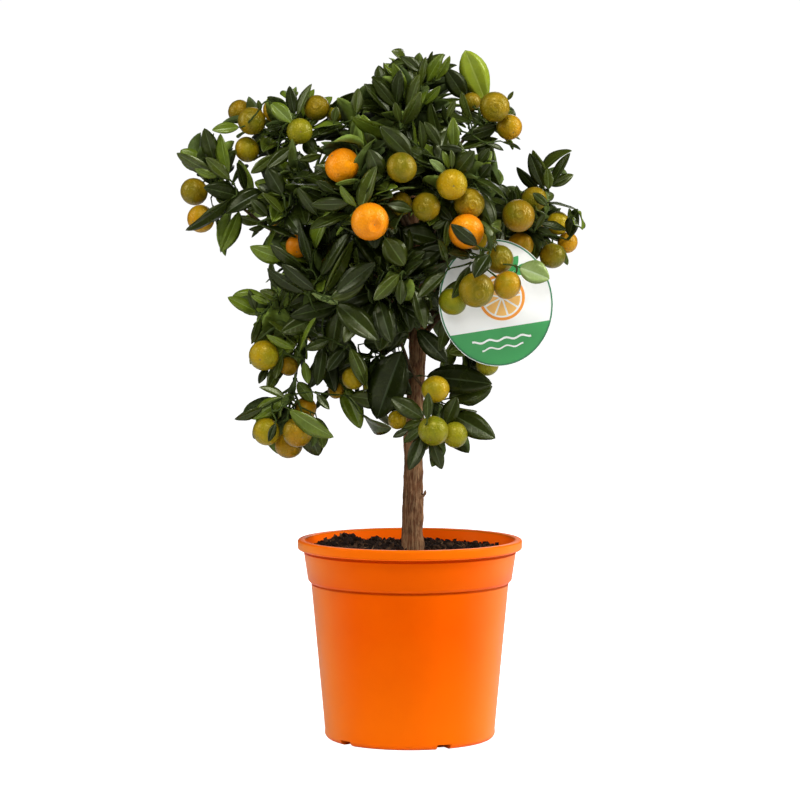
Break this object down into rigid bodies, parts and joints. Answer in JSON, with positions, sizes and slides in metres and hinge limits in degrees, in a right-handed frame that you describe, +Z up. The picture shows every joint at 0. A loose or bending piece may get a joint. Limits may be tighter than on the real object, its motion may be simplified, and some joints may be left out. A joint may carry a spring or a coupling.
{
  "type": "potted calamondin orange tree",
  "caption": "Small calamondin orange tree with glossy leaves and ripening fruit in a round orange nursery pot with a hanging label.",
  "frame": {"origin": "centre of the pot's flat underside, where it stands", "axes": "+Z up along the trunk, -Y to the front where the label hangs, +X to the right seen from the front"},
  "size_m": [0.3866, 0.3092, 0.641],
  "materials": {
    "pot": "satin",
    "soil": "matte",
    "bark": "matte",
    "foliage": "satin",
    "label": "satin"
  },
  "bodies": {
    "root": {"pot": "pot", "soil": "soil", "trunk": "bark", "bough_top_right": "bark", "bough_upper_left": "bark", "bough_upper_middle": "bark", "bough_far_left": "bark", "bough_left": "bark", "bough_left_middle": "bark", "bough_centre_front": "bark", "bough_centre_right": "bark", "bough_right": "bark", "bough_far_right": "bark", "bough_lower_right": "bark", "bough_lower_centre": "bark", "bough_lower_left": "bark", "bough_lowest_left": "bark", "bough_low_middle": "bark", "bough_low_front": "bark", "bough_under_right": "bark", "bough_back_top": "bark", "bough_back_left": "bark", "bough_back_right": "bark", "bough_back_centre": "bark", "bough_back_low_left": "bark", "bough_back_low_right": "bark", "label": "label", "foliage_crown": "foliage", "foliage_top_right": "foliage", "foliage_upper_left": "foliage", "foliage_upper_middle": "foliage", "foliage_far_left": "foliage", "foliage_left": "foliage", "foliage_left_middle": "foliage", "foliage_centre_front": "foliage", "foliage_centre_right": "foliage", "foliage_right": "foliage", "foliage_far_right": "foliage", "foliage_lower_right": "foliage", "foliage_lower_centre": "foliage", "foliage_lower_left": "foliage", "foliage_lowest_left": "foliage", "foliage_low_middle": "foliage", "foliage_low_front": "foliage", "foliage_under_right": "foliage", "foliage_back_top": "foliage", "foliage_back_left": "foliage", "foliage_back_right": "foliage", "foliage_back_centre": "foliage", "foliage_back_low_left": "foliage", "foliage_back_low_right": "foliage"}
  },
  "joints": []
}
